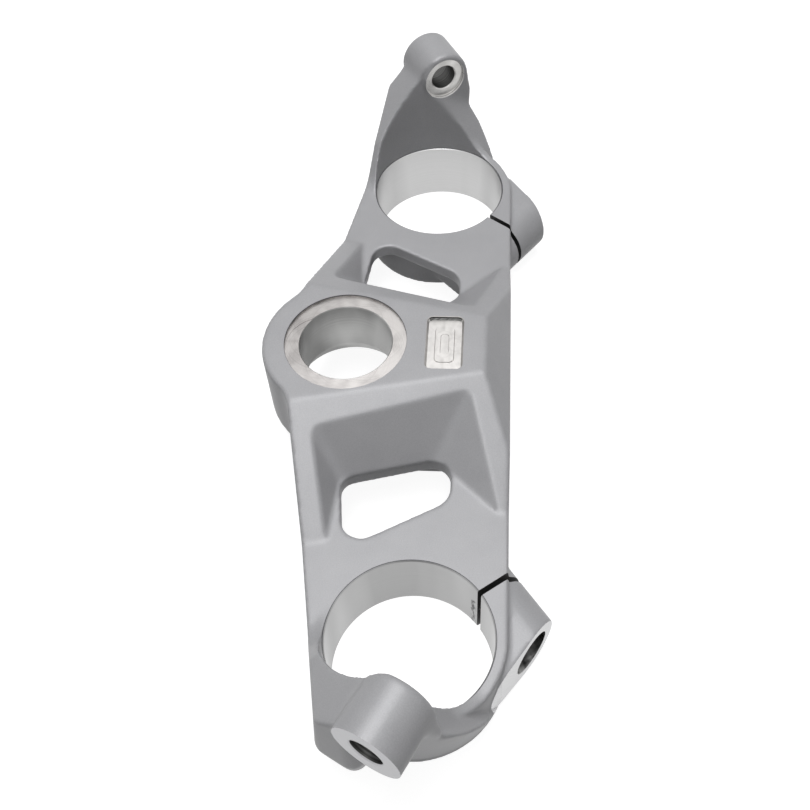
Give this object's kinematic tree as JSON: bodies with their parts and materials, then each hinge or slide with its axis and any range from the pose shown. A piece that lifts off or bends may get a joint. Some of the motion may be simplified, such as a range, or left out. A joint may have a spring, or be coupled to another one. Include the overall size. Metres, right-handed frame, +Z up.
{
  "type": "motorcycle triple clamp",
  "caption": "Upper triple clamp: bridge with a stem hub, slotted fork clamps with pinch lugs, windows and raised ears.",
  "frame": {"origin": "on the steering stem's axis, level with the flat top faces of the two fork clamps", "axes": "+X to the rider's right along the bridge, +Y forward, +Z up along the steering stem"},
  "size_m": [0.2922, 0.097, 0.0647],
  "materials": {
    "cast_aluminium": "satin silver-grey paint over cast aluminium, with bare machined bores and seats"
  },
  "bodies": {
    "root": {"triple_clamp": "cast_aluminium"}
  },
  "joints": []
}
